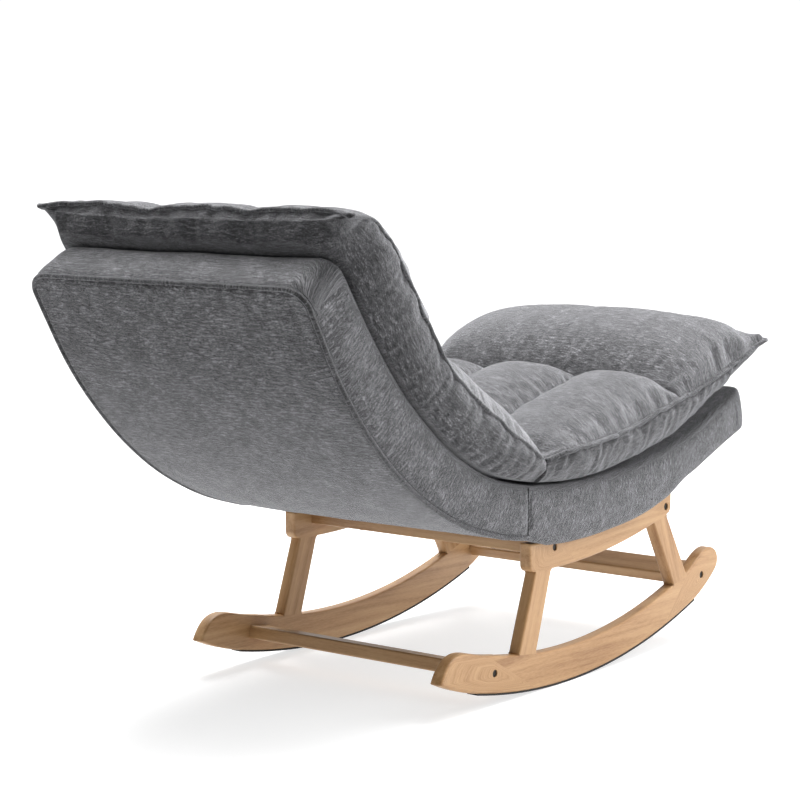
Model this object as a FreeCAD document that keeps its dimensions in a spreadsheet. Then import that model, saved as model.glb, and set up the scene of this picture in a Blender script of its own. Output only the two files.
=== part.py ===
import FreeCAD, Part

import math
import os

# Rocking chair: a beech rocking base, an upholstered scoop seat bolted on it, and two loose cushions.
# Millimetres. +Z is up, the chair faces -Y and +X is its left. The origin is on the floor, midway
# between the two places where the curved soles touch it.

Vector = FreeCAD.Vector
Rotation = FreeCAD.Rotation
Placement = FreeCAD.Placement

X_AXIS = Vector(1, 0, 0)

DIMENSIONS = {
    # timber base
    "base_width": 560,
    "timber_thick": 24,
    "board_width": 50,
    "board_thick": 24,
    "edge_round": 3.5,
    "sole_radius": 1330,
    "strip_thick": 3,
    "rail_corner_radius": 14,
    "rocker_top_radius": 1160,
    "rocker_top_centre_y": -14,
    "rocker_top_centre_z": 1224,
    "rail_top_radius": 1640,
    "rail_top_centre_y": 5,
    "rail_top_centre_z": 1902,
    "rail_under_radius": 1450,
    "rail_under_centre_y": 25,
    "rail_under_centre_z": 1662,
    # fixings
    "bolt_shank_radius": 4,
    "bolt_hole_radius": 4.3,
    "bolt_head_radius": 6.5,
    "bolt_head_height": 7,
    "counterbore_radius": 7,
    "counterbore_depth": 9,
    "bolt_grip": 60,
    "barrel_nut_radius": 5,
    "barrel_nut_length": 16,
    "dowel_radius": 5,
    "dowel_length": 60,
    "shell_bolt_radius": 3,
    "shell_bolt_hole_radius": 3.3,
    "shell_bolt_head_radius": 7,
    "shell_bolt_head_height": 4,
    "shell_bolt_spread": 300,
    "tee_nut_radius": 4.5,
    "tee_nut_flange_radius": 10,
    "tee_nut_flange": 1.5,
    "tee_nut_length": 12,
    "shell_hole_length": 160,
    # scoop seat
    "shell_width": 596,
    "cover_thick": 2,
    "layer_gap": 0.4,
    "wadding_thick": 5,
    "back_board_thick": 3,
    "deck_foam_thick": 25,
    "side_panel_thick": 18,
    "strap_width": 60,
    "strap_thick": 1.6,
    "strap_gap": 3.4,
    "welt_size": 7,
    # cushions
    "cushion_width": 640,
    "cushion_clearance": 2,
    "back_sleeve": 5,
    "seat_sleeve": 13,
    "bolster_sleeve": 21,
}

# The members of one side frame, as outlines in the (Y, Z) plane.
REAR_LEG = {"foot": (150, 98), "head": (101, 52)}
FRONT_LEG = {"foot": (-362, -408), "head": (-288, -333)}

SOLE_REAR_Y = 271
SOLE_FRONT_Y = -440

# Cross boards between the two side frames: centre (Y, Z) and slope in degrees.
CROSS_BOARDS = {
    "rear_stretcher": (222, 57, 10),
    "front_stretcher": (-464, 122, -27),
    "rear_cross_rail": (43, 250, 0),
    "front_cross_rail": (-329, 273, -14),
}

# Scoop seat, seen from the side, from the head down to the front edge.
SHELL_OUTER = [
    (745, 742), (706, 672), (657, 590), (600, 517), (526, 443), (440, 379), (340, 328), (240, 296),
    (149, 276), (50, 265), (-60, 265), (-170, 273), (-280, 293), (-382, 325), (-490, 362), (-606, 399),
]
SHELL_INNER = [
    (660, 786), (618, 724), (571, 657), (510, 582), (449, 522), (370, 459), (283, 411), (200, 385),
    (110, 369), (10, 362), (-90, 363), (-190, 370), (-290, 385), (-380, 407), (-470, 438), (-582, 480),
]
CAP_INSET = 12
PANEL_TO_STRAP = 32

# Timber inside the scoop seat: centre (Y, Z), slope in degrees, width along the slope, thickness.
SHELL_RAILS = {
    "head_rail": (689, 718, 60, 24, 44),
    "lumbar_rail": (328, 365, 26, 30, 44),
    "seat_rear_rail": (43, 300, 0, 50, 40),
    "seat_front_rail": (-331, 336, -19, 50, 30),
    "nose_rail": (-562, 415, -20, 24, 28),
}

# Which cross board of the base each seat rail is bolted to.
BOLTED_RAILS = {"seat_rear_rail": "rear_cross_rail", "seat_front_rail": "front_cross_rail"}

# Loose cushions, from the head or the rear end towards the front.
BACK_CUSHION_FRONT = [
    (636, 864), (560, 838), (500, 790), (440, 728), (382, 668), (318, 606), (250, 545), (180, 482),
    (128, 432), (99, 406),
]
SEAT_CUSHION_TOP = [
    (92, 408), (64, 424), (25, 443), (-40, 462), (-140, 478), (-240, 489), (-317, 494),
]
BOLSTER_TOP = [
    (-318, 494), (-352, 540), (-400, 590), (-462, 618), (-530, 612), (-590, 588), (-632, 568),
]
BOLSTER_UNDER = [
    (-340, 405), (-391, 424), (-450, 452), (-530, 487), (-592, 520), (-632, 552),
]


def make_sheet(doc):
    """The driving dimensions, one aliased cell each."""
    cells = doc.addObject("Spreadsheet::Sheet", "sheet")
    for row, (name, number) in enumerate(DIMENSIONS.items(), start=1):
        cells.set(f"A{row}", name)
        cells.set(f"B{row}", str(number))
        cells.setAlias(f"B{row}", name)
    doc.recompute()
    return cells


DOC = FreeCAD.newDocument("rocking_chair")
SHEET = make_sheet(DOC)
PARTS = {}


def size(name):
    """A driving dimension, as a plain number of millimetres."""
    return float(getattr(SHEET, name))


def finished(name, shape_object):
    """Label a finished sub-part; the label is its node's name."""
    shape_object.Label = name
    PARTS[name] = shape_object
    return shape_object


# ---------------------------------------------------------------- outlines


def line(start, end):
    return Part.LineSegment(Vector(*start, 0), Vector(*end, 0))


def arc(start, middle, end):
    return Part.Arc(Vector(*start, 0), Vector(*middle, 0), Vector(*end, 0))


def spline(points):
    curve = Part.BSplineCurve()
    curve.interpolate([Vector(*point, 0) for point in points])
    return curve


def flowing(points, start_heading=None, end_heading=None):
    """A spline that leaves its first point or reaches its last along a given heading."""
    tangents = [Vector(*(heading or (0, 0)), 0) for heading in [start_heading] + [None] * (len(points) - 2)]
    tangents.append(Vector(*(end_heading or (0, 0)), 0))
    flags = [tangent.Length > 0 for tangent in tangents]
    curve = Part.BSplineCurve()
    curve.interpolate(Points=[Vector(*point, 0) for point in points], Tangents=tangents, TangentFlags=flags)
    return curve


def low_side(circle, y):
    """The point at this Y on the lower side of a circle named in the sheet."""
    centre_y = size(f"{circle}_centre_y")
    centre_z = size(f"{circle}_centre_z")
    radius = size(f"{circle}_radius")
    return y, centre_z - math.sqrt(radius**2 - (y - centre_y) ** 2)


def low_arc(circle, start_y, end_y):
    middle_y = (start_y + end_y) / 2
    return arc(low_side(circle, start_y), low_side(circle, middle_y), low_side(circle, end_y))


def sole_point(y, inset=0.0):
    """A point on the rolling sole, or inset from it towards the sole's centre."""
    centre_z = size("sole_radius")
    radius = size("sole_radius") - inset
    return y, centre_z - math.sqrt(radius**2 - y**2)


def sole_arc(start_y, end_y, inset=0.0):
    middle_y = (start_y + end_y) / 2
    return arc(sole_point(start_y, inset), sole_point(middle_y, inset), sole_point(end_y, inset))


def low_heading(circle, y):
    """Direction of travel towards +Y on the lower side of a circle named in the sheet."""
    point_y, point_z = low_side(circle, y)
    radius = size(f"{circle}_radius")
    return (size(f"{circle}_centre_z") - point_z) / radius, (point_y - size(f"{circle}_centre_y")) / radius


def sole_heading(y):
    """Direction of travel towards +Y along the sole."""
    rise = y / (size("sole_radius") - size("strip_thick"))
    return math.sqrt(1 - rise**2), rise


def turned(heading):
    """The opposite direction."""
    return -heading[0], -heading[1]


def moved_sideways(points, distance):
    """The outline's points moved square to it, upwards and forwards when distance is positive."""
    moved = []
    for index, (y, z) in enumerate(points):
        before = points[max(index - 1, 0)]
        after = points[min(index + 1, len(points) - 1)]
        length = math.dist(before, after)
        along_y = (after[0] - before[0]) / length
        along_z = (after[1] - before[1]) / length
        moved.append((y + along_z * distance, z - along_y * distance))
    return moved


def towards(start, end, distance):
    """The point at this distance from start on the way to end."""
    share = distance / math.dist(start, end)
    return start[0] + (end[0] - start[0]) * share, start[1] + (end[1] - start[1]) * share


def shortened(points, distance):
    """The same outline with both ends drawn in."""
    first = towards(points[0], points[1], distance)
    last = towards(points[-1], points[-2], distance)
    return [first] + points[1:-1] + [last]


def band(under, over):
    """A closed outline between two long edges that run the same way."""
    return [
        spline(under),
        line(under[-1], over[-1]),
        spline(over[::-1]),
        line(over[0], under[0]),
    ]


def wrapper(under, over, thick):
    """A skin on the under edge that also turns up over both ends, as far as the over edge."""
    skin = shortened(moved_sideways(under, thick), thick)
    return [
        line(over[0], under[0]),
        spline(under),
        line(under[-1], over[-1]),
        line(over[-1], towards(over[-1], over[-2], thick)),
        line(towards(over[-1], over[-2], thick), skin[-1]),
        spline(skin[::-1]),
        line(skin[0], towards(over[0], over[1], thick)),
        line(towards(over[0], over[1], thick), over[0]),
    ]


# ---------------------------------------------------------------- solids


def origin_plane(body, role):
    return next(item for item in body.Origin.OriginFeatures if item.Role == role)


def slab(name, outline, length, start_x):
    """An outline in the (Y, Z) plane, padded along +X from start_x; length is an expression."""
    body = DOC.addObject("PartDesign::Body", name + "_body")
    sketch = body.newObject("Sketcher::SketchObject", name + "_outline")
    sketch.AttachmentSupport = [(origin_plane(body, "YZ_Plane"), "")]
    sketch.MapMode = "FlatFace"
    sketch.addGeometry(outline, False)
    pad = body.newObject("PartDesign::Pad", name + "_pad")
    pad.Profile = sketch
    pad.setExpression("Length", length)
    body.Tip = pad
    body.Placement = Placement(Vector(start_x, 0, 0), Rotation())
    return body


def rod(name, radius, height, centre, axis):
    """A cylinder about its centre, along axis; radius and height are expressions."""
    cylinder = DOC.addObject("Part::Cylinder", name)
    cylinder.setExpression("Radius", radius)
    cylinder.setExpression("Height", height)
    DOC.recompute([cylinder])
    turn = Rotation(Vector(0, 0, 1), axis)
    half = turn.multVec(Vector(0, 0, cylinder.Height.Value / 2))
    cylinder.Placement = Placement(centre - half, turn)
    return cylinder


def board(name, length, width, thick, centre, slope):
    """A timber board across the chair: length in X, width along the slope, all expressions."""
    box = DOC.addObject("Part::Box", name)
    box.setExpression("Length", length)
    box.setExpression("Width", width)
    box.setExpression("Height", thick)
    DOC.recompute([box])
    turn = Rotation(X_AXIS, slope)
    corner = Vector(-box.Length.Value / 2, -box.Width.Value / 2, -box.Height.Value / 2)
    box.Placement = Placement(centre + turn.multVec(corner), turn)
    return box


def group(name, members):
    compound = DOC.addObject("Part::Compound", name)
    compound.Links = members
    return compound


def fuse(name, members):
    joined = DOC.addObject("Part::MultiFuse", name)
    joined.Shapes = members
    joined.Refine = True
    return joined


def cut(name, base, tools):
    """The base less each of the tools, one after another."""
    for index, tool in enumerate(tools):
        difference = DOC.addObject("Part::Cut", f"{name}_cut_{index}")
        difference.Base = base
        difference.Tool = tool
        base = difference
    return base


def rounded(name, base, radius, keep_edge):
    """The base with each edge that keep_edge accepts rounded over."""
    DOC.recompute()
    fillet = DOC.addObject("Part::Fillet", name)
    fillet.Base = base
    chosen = [i for i, edge in enumerate(base.Shape.Edges, start=1) if keep_edge(edge)]
    fillet.Edges = [(i, radius, radius) for i in chosen]
    return fillet


# ---------------------------------------------------------------- side frames


def rocker_outline():
    """The sole and the top are arcs; a spline rounds the nose and two more shape the tail."""
    tail = (376, 65)
    rear_of_sole = sole_point(SOLE_REAR_Y, size("strip_thick"))
    front_of_sole = sole_point(SOLE_FRONT_Y, size("strip_thick"))
    rear_top = low_side("rocker_top", REAR_LEG["foot"][0])
    front_top = low_side("rocker_top", FRONT_LEG["foot"][1])
    nose = [(-446, 154), (-482, 170), (-507, 169), (-524, 154), (-525, 137), (-509, 118), (-478, 97)]
    tail_top = [(362, 87), (345, 101), (322, 107), (263, 96), (205, 85)]
    return [
        flowing([rear_of_sole, (325, 45), tail], start_heading=sole_heading(SOLE_REAR_Y)),
        flowing([tail] + tail_top + [rear_top], end_heading=turned(low_heading("rocker_top", rear_top[0]))),
        low_arc("rocker_top", rear_top[0], front_top[0]),
        flowing(
            [front_top] + nose + [front_of_sole],
            start_heading=turned(low_heading("rocker_top", front_top[0])),
            end_heading=sole_heading(SOLE_FRONT_Y),
        ),
        sole_arc(SOLE_FRONT_Y, SOLE_REAR_Y, size("strip_thick")),
    ]


def sole_strip_outline():
    thick = size("strip_thick")
    return [
        sole_arc(SOLE_REAR_Y, SOLE_FRONT_Y),
        line(sole_point(SOLE_FRONT_Y), sole_point(SOLE_FRONT_Y, thick)),
        sole_arc(SOLE_FRONT_Y, SOLE_REAR_Y, thick),
        line(sole_point(SOLE_REAR_Y, thick), sole_point(SOLE_REAR_Y)),
    ]


def leg_outline(leg):
    rear_foot, front_foot = leg["foot"]
    rear_head, front_head = leg["head"]
    return [
        low_arc("rocker_top", rear_foot, front_foot),
        line(low_side("rocker_top", front_foot), low_side("rail_under", front_head)),
        low_arc("rail_under", front_head, rear_head),
        line(low_side("rail_under", rear_head), low_side("rocker_top", rear_foot)),
    ]


def lower_corner(end_y, inward):
    """Where the rail's underside and its upright end meet a rounded corner, and its middle."""
    radius = size("rail_corner_radius")
    under_radius = size("rail_under_radius")
    centre_y = end_y + inward * radius
    run = centre_y - size("rail_under_centre_y")
    drop = math.sqrt((under_radius - radius) ** 2 - run**2)
    centre_z = size("rail_under_centre_z") - drop
    share = radius / (under_radius - radius)
    under = (centre_y + run * share, centre_z - drop * share)
    reach = math.sqrt(0.5) * radius
    return under, (centre_y - inward * reach, centre_z - reach), (end_y, centre_z)


def rail_outline():
    rear_y = 118
    front_y = -348
    rear_under, rear_bend, rear_end = lower_corner(rear_y, -1)
    front_under, front_bend, front_end = lower_corner(front_y, 1)
    return [
        low_arc("rail_top", rear_y, front_y),
        line(low_side("rail_top", front_y), front_end),
        arc(front_end, front_bend, front_under),
        low_arc("rail_under", front_under[0], rear_under[0]),
        arc(rear_under, rear_bend, rear_end),
        line(rear_end, low_side("rail_top", rear_y)),
    ]


def dowel_places(leg):
    """Centre and direction of the two dowels at each end of a leg, in the (Y, Z) plane."""
    places = []
    foot = [low_side("rocker_top", y) for y in leg["foot"]]
    head = [low_side("rail_under", y) for y in leg["head"]]
    foot_middle = Vector(0, (foot[0][0] + foot[1][0]) / 2, (foot[0][1] + foot[1][1]) / 2)
    head_middle = Vector(0, (head[0][0] + head[1][0]) / 2, (head[0][1] + head[1][1]) / 2)
    along = (head_middle - foot_middle).normalize()
    across = Vector(0, along.z, -along.y)
    for end in (foot_middle, head_middle):
        for side in (-1, 1):
            places.append((end + across * side * 11, along))
    return places


def side_dowels(side):
    middle_x = side * (size("base_width") - size("timber_thick")) / 2
    dowels = []
    for leg_name, leg in (("rear", REAR_LEG), ("front", FRONT_LEG)):
        for index, (centre, along) in enumerate(dowel_places(leg)):
            name = f"{leg_name}_dowel_{index}_{'left' if side > 0 else 'right'}"
            centre = centre + X_AXIS * middle_x
            dowels.append(rod(name, "sheet.dowel_radius", "sheet.dowel_length", centre, along))
    return dowels


def bolt_places():
    """The cross boards' centres: each end of each board takes one bolt from outside."""
    return [Vector(0, y, z) for y, z, _ in CROSS_BOARDS.values()]


def side_bolt_holes(side):
    """Clearance holes with counterbores through one side frame."""
    outer_x = side * size("base_width") / 2
    tools = []
    for index, place in enumerate(bolt_places()):
        tag = f"{index}_{'left' if side > 0 else 'right'}"
        face = place + X_AXIS * outer_x
        through = rod("hole_" + tag, "sheet.bolt_hole_radius", "4 * sheet.timber_thick", face, X_AXIS)
        bore = rod("bore_" + tag, "sheet.counterbore_radius", "2 * sheet.counterbore_depth", face, X_AXIS)
        tools += [through, bore]
    return tools


def side_frame(side, dowels):
    """Rocker, two legs and a rail, butted on curved ends and pinned by dowels."""
    word = "left" if side > 0 else "right"
    start_x = size("base_width") / 2 - size("timber_thick")
    if side < 0:
        start_x = -size("base_width") / 2
    members = {
        f"rocker_{word}": rocker_outline(),
        f"rear_leg_{word}": leg_outline(REAR_LEG),
        f"front_leg_{word}": leg_outline(FRONT_LEG),
        f"side_rail_{word}": rail_outline(),
    }
    drills = group(f"frame_holes_{word}", side_bolt_holes(side))
    for name, outline in members.items():
        member = slab(name, outline, "sheet.timber_thick", start_x)
        finished(name, cut(name, member, [drills, dowels]))
    strip = slab(f"sole_strip_{word}", sole_strip_outline(), "sheet.timber_thick - 2", start_x + 1)
    finished(f"sole_strip_{word}", strip)


# ---------------------------------------------------------------- cross boards and fixings


def frame_bolt(name, centre, side):
    """A cap-head bolt whose head sits in the counterbore and whose shank runs into the board."""
    outer_x = side * (size("base_width") / 2 - size("counterbore_depth"))
    inward = X_AXIS * -side
    seat = centre + X_AXIS * outer_x
    shank_middle = seat + inward * size("bolt_grip") / 2
    head_middle = seat - inward * size("bolt_head_height") / 2
    shank = rod(name + "_shank", "sheet.bolt_shank_radius", "sheet.bolt_grip", shank_middle, X_AXIS)
    head = rod(name + "_head", "sheet.bolt_head_radius", "sheet.bolt_head_height", head_middle, X_AXIS)
    return fuse(name, [shank, head])


def barrel_nut(name, centre, side, upright):
    """A cross dowel nut in the board, threaded on the bolt."""
    outer_x = side * (size("base_width") / 2 - size("counterbore_depth"))
    place = centre + X_AXIS * (outer_x - side * (size("bolt_grip") - 10))
    nut = rod(name + "_blank", "sheet.barrel_nut_radius", "sheet.barrel_nut_length", place, upright)
    thread = rod(name + "_thread", "sheet.bolt_shank_radius", "sheet.bolt_grip", place, X_AXIS)
    return cut(name, nut, [thread])


def base_fixings():
    """Bolts, barrel nuts and the holes they need in the four cross boards."""
    bolts = []
    nuts = []
    for name, (y, z, slope) in CROSS_BOARDS.items():
        centre = Vector(0, y, z)
        upright = Rotation(X_AXIS, slope).multVec(Vector(0, 0, 1))
        timber = board(
            name + "_timber",
            "sheet.base_width - 2 * sheet.timber_thick",
            "sheet.board_width",
            "sheet.board_thick",
            centre,
            slope,
        )
        eased = rounded(name + "_eased", timber, size("edge_round"), runs_across)
        holes = []
        for side in (-1, 1):
            tag = f"{name}_{'left' if side > 0 else 'right'}"
            bolts.append(frame_bolt("bolt_" + tag, centre, side))
            nuts.append(barrel_nut("nut_" + tag, centre, side, upright))
            end = centre + X_AXIS * side * (size("base_width") / 2 - size("timber_thick"))
            holes.append(rod("shaft_" + tag, "sheet.bolt_hole_radius", "2 * sheet.bolt_grip", end, X_AXIS))
            nut_place = nuts[-1].Base.Placement
            hole = rod(
                "nut_hole_" + tag,
                "sheet.barrel_nut_radius",
                "sheet.barrel_nut_length",
                Vector(0, 0, 0),
                upright,
            )
            hole.Placement = nut_place
            holes.append(hole)
        tools = [group(name + "_holes", holes)]
        if "cross_rail" in name:
            tools.append(shell_bolt_holes(name + "_shell_holes", "sheet.shell_bolt_hole_radius", [name]))
        finished(name, cut(name, eased, tools))
    finished("frame_bolts", group("frame_bolts", bolts))
    finished("barrel_nuts", group("barrel_nuts", nuts))


def runs_across(edge):
    """True for the long edges of a board, which run in X."""
    return edge.BoundBox.XLength > 100


def shell_bolt_lines(board_name):
    """Centre of the board and the upright direction for its two shell bolts."""
    y, z, slope = CROSS_BOARDS[board_name]
    upright = Rotation(X_AXIS, slope).multVec(Vector(0, 0, 1))
    half = size("shell_bolt_spread") / 2
    return [(Vector(side * half, y, z), upright) for side in (-1, 1)]


def shell_bolt_holes(tag, radius, board_names=("rear_cross_rail", "front_cross_rail")):
    """Holes that run up from the cross boards through the underside of the scoop seat."""
    holes = []
    for board_name in board_names:
        for index, (centre, upright) in enumerate(shell_bolt_lines(board_name)):
            name = f"{tag}_{board_name}_{index}"
            holes.append(rod(name, radius, "sheet.shell_hole_length", centre, upright))
    return group(tag, holes)


def shell_fixings():
    """Pan-head bolts from below, and tee nuts on top of the two seat rails."""
    bolts = []
    nuts = []
    for rail_name, board_name in BOLTED_RAILS.items():
        rail_y, rail_z, rail_slope, _, rail_thick = SHELL_RAILS[rail_name]
        rail_upright = Rotation(X_AXIS, rail_slope).multVec(Vector(0, 0, 1))
        for index, (centre, upright) in enumerate(shell_bolt_lines(board_name)):
            tag = f"{rail_name}_{index}"
            under = centre - upright * size("board_thick") / 2
            rail_top = Vector(centre.x, rail_y, rail_z) + rail_upright * rail_thick / 2
            reach = (rail_top - under).dot(upright)
            top = under + upright * reach
            root = size("shell_bolt_head_height") / 2
            head_middle = under - upright * root
            shank_middle = under + upright * (reach - root) / 2
            head = rod(
                "pan_" + tag,
                "sheet.shell_bolt_head_radius",
                "sheet.shell_bolt_head_height",
                head_middle,
                upright,
            )
            shank_length = f"{reach + root:.3f}"
            shank = rod("stud_" + tag, "sheet.shell_bolt_radius", shank_length, shank_middle, upright)
            bolts.append(fuse("shell_bolt_" + tag, [head, shank]))
            sleeve_middle = top - upright * size("tee_nut_length") / 2
            flange_middle = top + upright * (size("tee_nut_flange") / 2 + 1)
            sleeve = rod(
                "sleeve_" + tag,
                "sheet.tee_nut_radius",
                "sheet.tee_nut_length + 2",
                sleeve_middle,
                upright,
            )
            flange = rod(
                "flange_" + tag,
                "sheet.tee_nut_flange_radius",
                "sheet.tee_nut_flange",
                flange_middle,
                upright,
            )
            thread = rod("thread_" + tag, "sheet.shell_bolt_radius", "80", top, upright)
            nuts.append(cut("tee_nut_" + tag, fuse("tee_blank_" + tag, [sleeve, flange]), [thread]))
    finished("shell_bolts", group("shell_bolts", bolts))
    finished("tee_nuts", group("tee_nuts", nuts))


def leg_dowels():
    """Two glued dowels at each end of each leg; returns the group for each side."""
    groups = {}
    for side in (-1, 1):
        groups[side] = group(f"dowels_{'left' if side > 0 else 'right'}", side_dowels(side))
    both = DOC.addObject("Part::Compound", "leg_dowels")
    both.Links = groups[-1].Links + groups[1].Links
    finished("leg_dowels", both)
    return groups


# ---------------------------------------------------------------- scoop seat


def outer_edge(inset=0.0):
    return moved_sideways(SHELL_OUTER, inset)


def inner_edge(inset=0.0):
    return moved_sideways(SHELL_INNER, -inset)


def shell_covers():
    """Fabric on the outside, on the deck and on both side bands, with a welt round the back."""
    thick = size("cover_thick")
    half = size("shell_width") / 2
    drills = [shell_bolt_holes("cover_holes", "sheet.shell_bolt_hole_radius")]
    outer = slab("outer_cover", wrapper(outer_edge(), inner_edge(thick), thick), "sheet.shell_width", -half)
    finished("outer_cover", cut("outer_cover", outer, drills))
    deck = slab("deck_cover", band(inner_edge(thick), inner_edge()), "sheet.shell_width", -half)
    finished("deck_cover", deck)
    gap = thick + size("layer_gap")
    face = shell_layer(outer_edge(gap), inner_edge(gap))
    for word, start_x in (("right", -half), ("left", half - thick)):
        finished(f"side_cover_{word}", slab(f"side_cover_{word}", face, "sheet.cover_thick", start_x))
    welt_path = SHELL_OUTER[:12]
    welt_under = moved_sideways(welt_path, -size("welt_size") - size("layer_gap"))
    welt_outline = band(welt_under, moved_sideways(welt_path, -size("layer_gap")))
    for word, start_x in (("right", -half), ("left", half - size("welt_size"))):
        finished(f"welt_{word}", slab(f"welt_{word}", welt_outline, "sheet.welt_size", start_x))


def shell_padding():
    """Wadding and a bent board under the outer cover, foam under the deck, wadding at the sides."""
    gap = size("layer_gap")
    wadding_out = size("cover_thick") + gap
    wadding_in = wadding_out + size("wadding_thick")
    board_in = wadding_in + gap + size("back_board_thick")
    foam_in = wadding_out + size("deck_foam_thick")
    half = size("shell_width") / 2 - size("cover_thick")
    inner_half = half - size("wadding_thick")
    width = "sheet.shell_width - 2 * (sheet.cover_thick + sheet.wadding_thick)"
    drills = [shell_bolt_holes("padding_holes", "sheet.shell_bolt_hole_radius")]
    pad = shell_layer(outer_edge(wadding_out), outer_edge(wadding_in))
    finished("back_wadding", cut("back_wadding", slab("back_wadding", pad, width, -inner_half), drills))
    bent = shell_layer(outer_edge(wadding_in + gap), outer_edge(board_in))
    finished("back_board", cut("back_board", slab("back_board", bent, width, -inner_half), drills))
    foam = shell_layer(inner_edge(foam_in), inner_edge(wadding_out))
    finished("deck_foam", slab("deck_foam", foam, width, -inner_half))
    face = shell_layer(outer_edge(wadding_out), inner_edge(wadding_out))
    for word, start_x in (("right", -half), ("left", inner_half)):
        finished(f"side_wadding_{word}", slab(f"side_wadding_{word}", face, "sheet.wadding_thick", start_x))


def shell_layer(under, over):
    """A layer that stops short of the scoop's two ends, inside the turned-in cover."""
    return band(shortened(under, CAP_INSET), shortened(over, CAP_INSET))


def shell_frame():
    """Plywood side panels, timber rails between them, and elastic straps across them."""
    layers = size("cover_thick") + size("wadding_thick") + size("back_board_thick")
    inner_half = size("shell_width") / 2 - size("cover_thick") - size("wadding_thick")
    panel = shell_layer(outer_edge(layers + 3 * size("layer_gap")), inner_edge(PANEL_TO_STRAP))
    for word, start_x in (("right", -inner_half), ("left", inner_half - size("side_panel_thick"))):
        finished(f"side_panel_{word}", slab(f"side_panel_{word}", panel, "sheet.side_panel_thick", start_x))
    span = "sheet.shell_width - 2 * (sheet.cover_thick + sheet.wadding_thick + sheet.side_panel_thick)"
    for name, (y, z, slope, width, thick) in SHELL_RAILS.items():
        timber = board(name + "_timber", span, f"{width}", f"{thick}", Vector(0, y, z), slope)
        tools = []
        if name in BOLTED_RAILS:
            tag = name + "_holes"
            tools.append(shell_bolt_holes(tag, "sheet.tee_nut_radius", [BOLTED_RAILS[name]]))
        finished(name, cut(name, timber, tools))


def straps(name, first, last):
    """Elastic straps from side panel to side panel, one at each of the deck's stations."""
    edge = inner_edge(size("cover_thick") + size("deck_foam_thick") + size("strap_gap") - 1)
    strips = []
    for index in range(first, last):
        y, z = edge[index]
        before = edge[index - 1]
        after = edge[index + 1]
        slope = math.degrees(math.atan2(before[1] - after[1], before[0] - after[0]))
        strips.append(
            board(
                f"{name}_{index}",
                "sheet.shell_width - 2 * (sheet.cover_thick + sheet.wadding_thick)",
                "sheet.strap_width",
                "sheet.strap_thick",
                Vector(0, y, z),
                slope,
            )
        )
    finished(name, group(name, strips))


# ---------------------------------------------------------------- cushions


def end_strip(under, over, thick, end):
    """The boxing across one end of a cushion: a strip as thick as the cover."""
    beside = {0: 1, -1: -2}[end]
    inner_under = towards(under[end], under[beside], thick)
    inner_over = towards(over[end], over[beside], thick)
    corners = [under[end], over[end], inner_over, inner_under]
    return [line(a, b) for a, b in zip(corners, corners[1:] + corners[:1])]


def cushion(name, under, over):
    """Two cover panels, boxing on all four sides, and a fibre filling with air at its middle."""
    thick = size("cover_thick")
    half = size("cushion_width") / 2
    low = moved_sideways(under, thick)
    high = moved_sideways(over, -thick)
    gap = size("layer_gap")
    inner_low = moved_sideways(under, thick + gap)
    inner_high = moved_sideways(over, -thick - gap)
    face = band(shortened(inner_low, thick + gap), shortened(inner_high, thick + gap))
    sleeve = name.split("_")[0] + "_sleeve"
    wall = size(sleeve)
    hollow = band(moved_sideways(low, wall)[1:-1], moved_sideways(high, -wall)[1:-1])
    inside = "sheet.cushion_width - 2 * sheet.cover_thick"
    filling = slab(name + "_fibre", face, inside, -half + thick)
    air = slab(name + "_air", hollow, f"{inside} - 2 * sheet.{sleeve}", -half + thick + wall)
    finished(name + "_filling", cut(name + "_filling", filling, [air]))
    boxing = [
        slab(name + "_right_side", face, "sheet.cover_thick", -half),
        slab(name + "_left_side", face, "sheet.cover_thick", half - thick),
        slab(name + "_first_end", end_strip(inner_low, inner_high, thick, 0), "sheet.cushion_width", -half),
        slab(name + "_last_end", end_strip(inner_low, inner_high, thick, -1), "sheet.cushion_width", -half),
    ]
    finished(name + "_boxing", group(name + "_boxing", boxing))
    finished(name + "_under_cover", slab(name + "_under", band(under, low), "sheet.cushion_width", -half))
    finished(name + "_top_cover", slab(name + "_top", band(high, over), "sheet.cushion_width", -half))


def cushions():
    """The back cushion's rear and the seat cushion's underside follow the deck."""
    deck = inner_edge(-size("cushion_clearance"))
    back_rear = [(672, 846), (662, 806), towards(deck[0], deck[1], 14)] + deck[1:8] + [(140, 378)]
    seat_under = [(130, 375)] + deck[8:13] + [towards(BOLSTER_UNDER[0], deck[12], 1)]
    cushion("back_cushion", back_rear, BACK_CUSHION_FRONT)
    cushion("seat_cushion", seat_under, SEAT_CUSHION_TOP)
    cushion("bolster", BOLSTER_UNDER, BOLSTER_TOP)


# ---------------------------------------------------------------- build and export


def build():
    dowels = leg_dowels()
    for side in (-1, 1):
        side_frame(side, dowels[side])
    base_fixings()
    shell_fixings()
    shell_frame()
    straps("back_webbing", 1, 7)
    straps("seat_webbing", 8, 15)
    shell_padding()
    shell_covers()
    cushions()
    DOC.recompute()


def check():
    """Stop if any object failed or any sub-part isn't a valid, closed shape."""
    for item in DOC.Objects:
        if "Invalid" in item.State or "Error" in item.State:
            raise RuntimeError(f"{item.Name} failed: {item.State}")
    for name, item in PARTS.items():
        shape = item.Shape
        if shape.isNull() or not shape.isValid() or not shape.Solids:
            raise RuntimeError(f"{name} has no valid solid")


def export():
    os.makedirs("parts", exist_ok=True)
    for name, item in PARTS.items():
        item.Shape.exportStep(f"parts/{name}.step")
        print(f"{name}: {len(item.Shape.Solids)} solids, {item.Shape.Volume / 1000:.1f} cm3")


build()
check()
export()
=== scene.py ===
import math

import bmesh
import bpy
import numpy as np
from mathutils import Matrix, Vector, noise


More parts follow.
